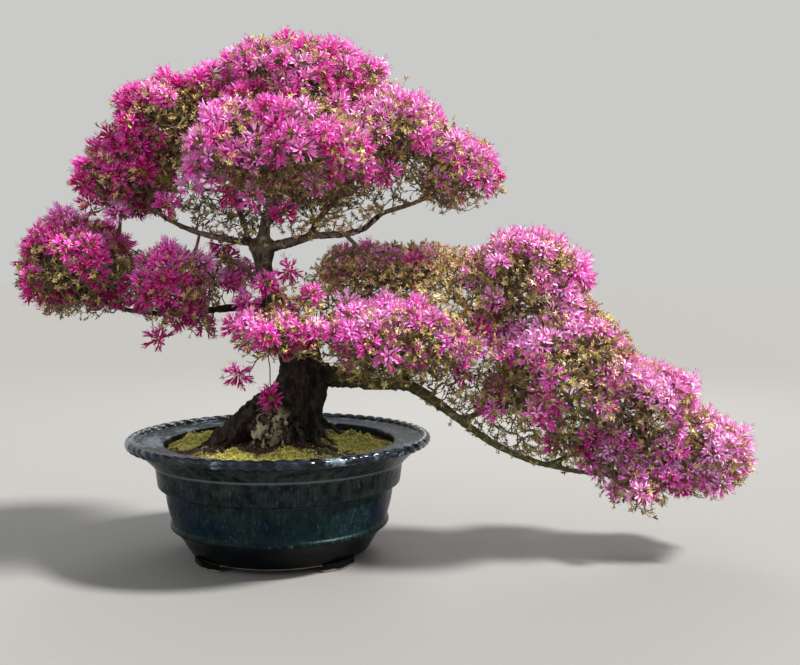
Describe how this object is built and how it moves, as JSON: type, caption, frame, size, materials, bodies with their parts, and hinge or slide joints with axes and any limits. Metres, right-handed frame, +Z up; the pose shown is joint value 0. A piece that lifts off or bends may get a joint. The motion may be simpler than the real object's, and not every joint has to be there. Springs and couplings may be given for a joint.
{
  "type": "bonsai tree in a pot",
  "caption": "Azalea bonsai in flower with a domed crown and a long semi-cascading branch, rooted in a round glazed pot with a rope-edged rim and small feet.",
  "frame": {"origin": "bottom centre of the overall box, on the plane that the pot's feet stand on", "axes": "+Z up, +X along the cascading branch, +Y away from the tree's front; the pot's axis is vertical and crosses y = 0 at x = -0.1850 m"},
  "size_m": [1.2208, 0.4992, 0.8554],
  "materials": {
    "glaze": "gloss",
    "soil": "matte",
    "moss": "matte",
    "screen": "matte",
    "wire": "satin",
    "bark": "matte",
    "foliage": "satin",
    "blossom": "matte"
  },
  "bodies": {
    "root": {"blossom_cascade_front": "blossom", "blossom_cascade_low": "blossom", "blossom_cascade_middle": "blossom", "blossom_cascade_shoulder": "blossom", "blossom_cascade_tip": "blossom", "blossom_cascade_under": "blossom", "blossom_crown_back": "blossom", "blossom_crown_front": "blossom", "blossom_crown_left": "blossom", "blossom_crown_right": "blossom", "blossom_crown_top": "blossom", "blossom_crown_upper_left": "blossom", "blossom_crown_upper_right": "blossom", "blossom_left_inner": "blossom", "blossom_left_outer": "blossom", "blossom_low_front": "blossom", "drainage_screen_1": "screen", "drainage_screen_2": "screen", "drainage_screen_3": "screen", "foliage_cascade_back": "foliage", "foliage_cascade_front": "foliage", "foliage_cascade_low": "foliage", "foliage_cascade_middle": "foliage", "foliage_cascade_shoulder": "foliage", "foliage_cascade_tip": "foliage", "foliage_cascade_under": "foliage", "foliage_crown_back": "foliage", "foliage_crown_front": "foliage", "foliage_crown_left": "foliage", "foliage_crown_right": "foliage", "foliage_crown_top": "foliage", "foliage_crown_upper_left": "foliage", "foliage_crown_upper_right": "foliage", "foliage_left_inner": "foliage", "foliage_left_outer": "foliage", "foliage_low_front": "foliage", "moss_back": "moss", "moss_front": "moss", "moss_front_left": "moss", "moss_left": "moss", "moss_right": "moss", "pot": "glaze", "screen_clip_1": "wire", "screen_clip_2": "wire", "screen_clip_3": "wire", "soil": "soil", "trunk_and_branches": "bark"}
  },
  "joints": []
}
